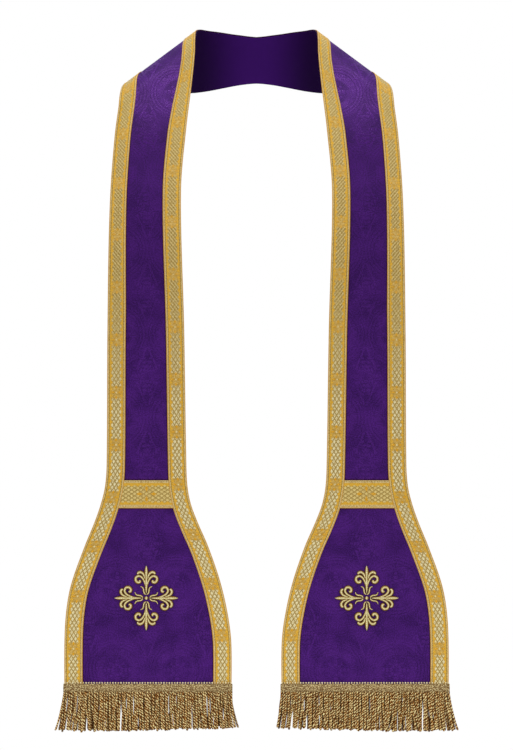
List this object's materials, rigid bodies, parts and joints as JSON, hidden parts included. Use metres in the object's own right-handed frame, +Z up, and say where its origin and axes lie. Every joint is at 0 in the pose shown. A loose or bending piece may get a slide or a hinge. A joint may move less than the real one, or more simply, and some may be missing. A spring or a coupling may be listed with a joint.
{
  "type": "roman stole",
  "caption": "Damask priest's stole as worn: two braided bands over the shoulders, seamed at the nape, each ending in a spade shape with an embroidered cross and bullion fringe.",
  "frame": {"origin": "in the middle plane, level with the tops of the shoulder folds beside the neck, where the wearer's shoulders carry the stole", "axes": "+Z up, the front faces -Y, +X to the viewer's right"},
  "size_m": [0.5086, 0.2621, 0.9277],
  "materials": {
    "damask": "matt purple damask with a slightly shinier woven figure",
    "lining": "smooth dark purple satin",
    "braid": "woven gold galloon, satin metallic",
    "embroidery": "pale gold satin stitch",
    "fringe": "twisted antique gold bullion"
  },
  "bodies": {
    "root": {"damask_left": "damask", "damask_right": "damask", "lining_left": "lining", "lining_right": "lining", "inner_braid_left": "braid", "inner_braid_right": "braid", "outer_braid_left": "braid", "outer_braid_right": "braid", "wide_braid_left": "braid", "wide_braid_right": "braid", "cross_left": "embroidery", "cross_right": "embroidery", "fringe_left": "fringe", "fringe_right": "fringe"}
  },
  "joints": []
}
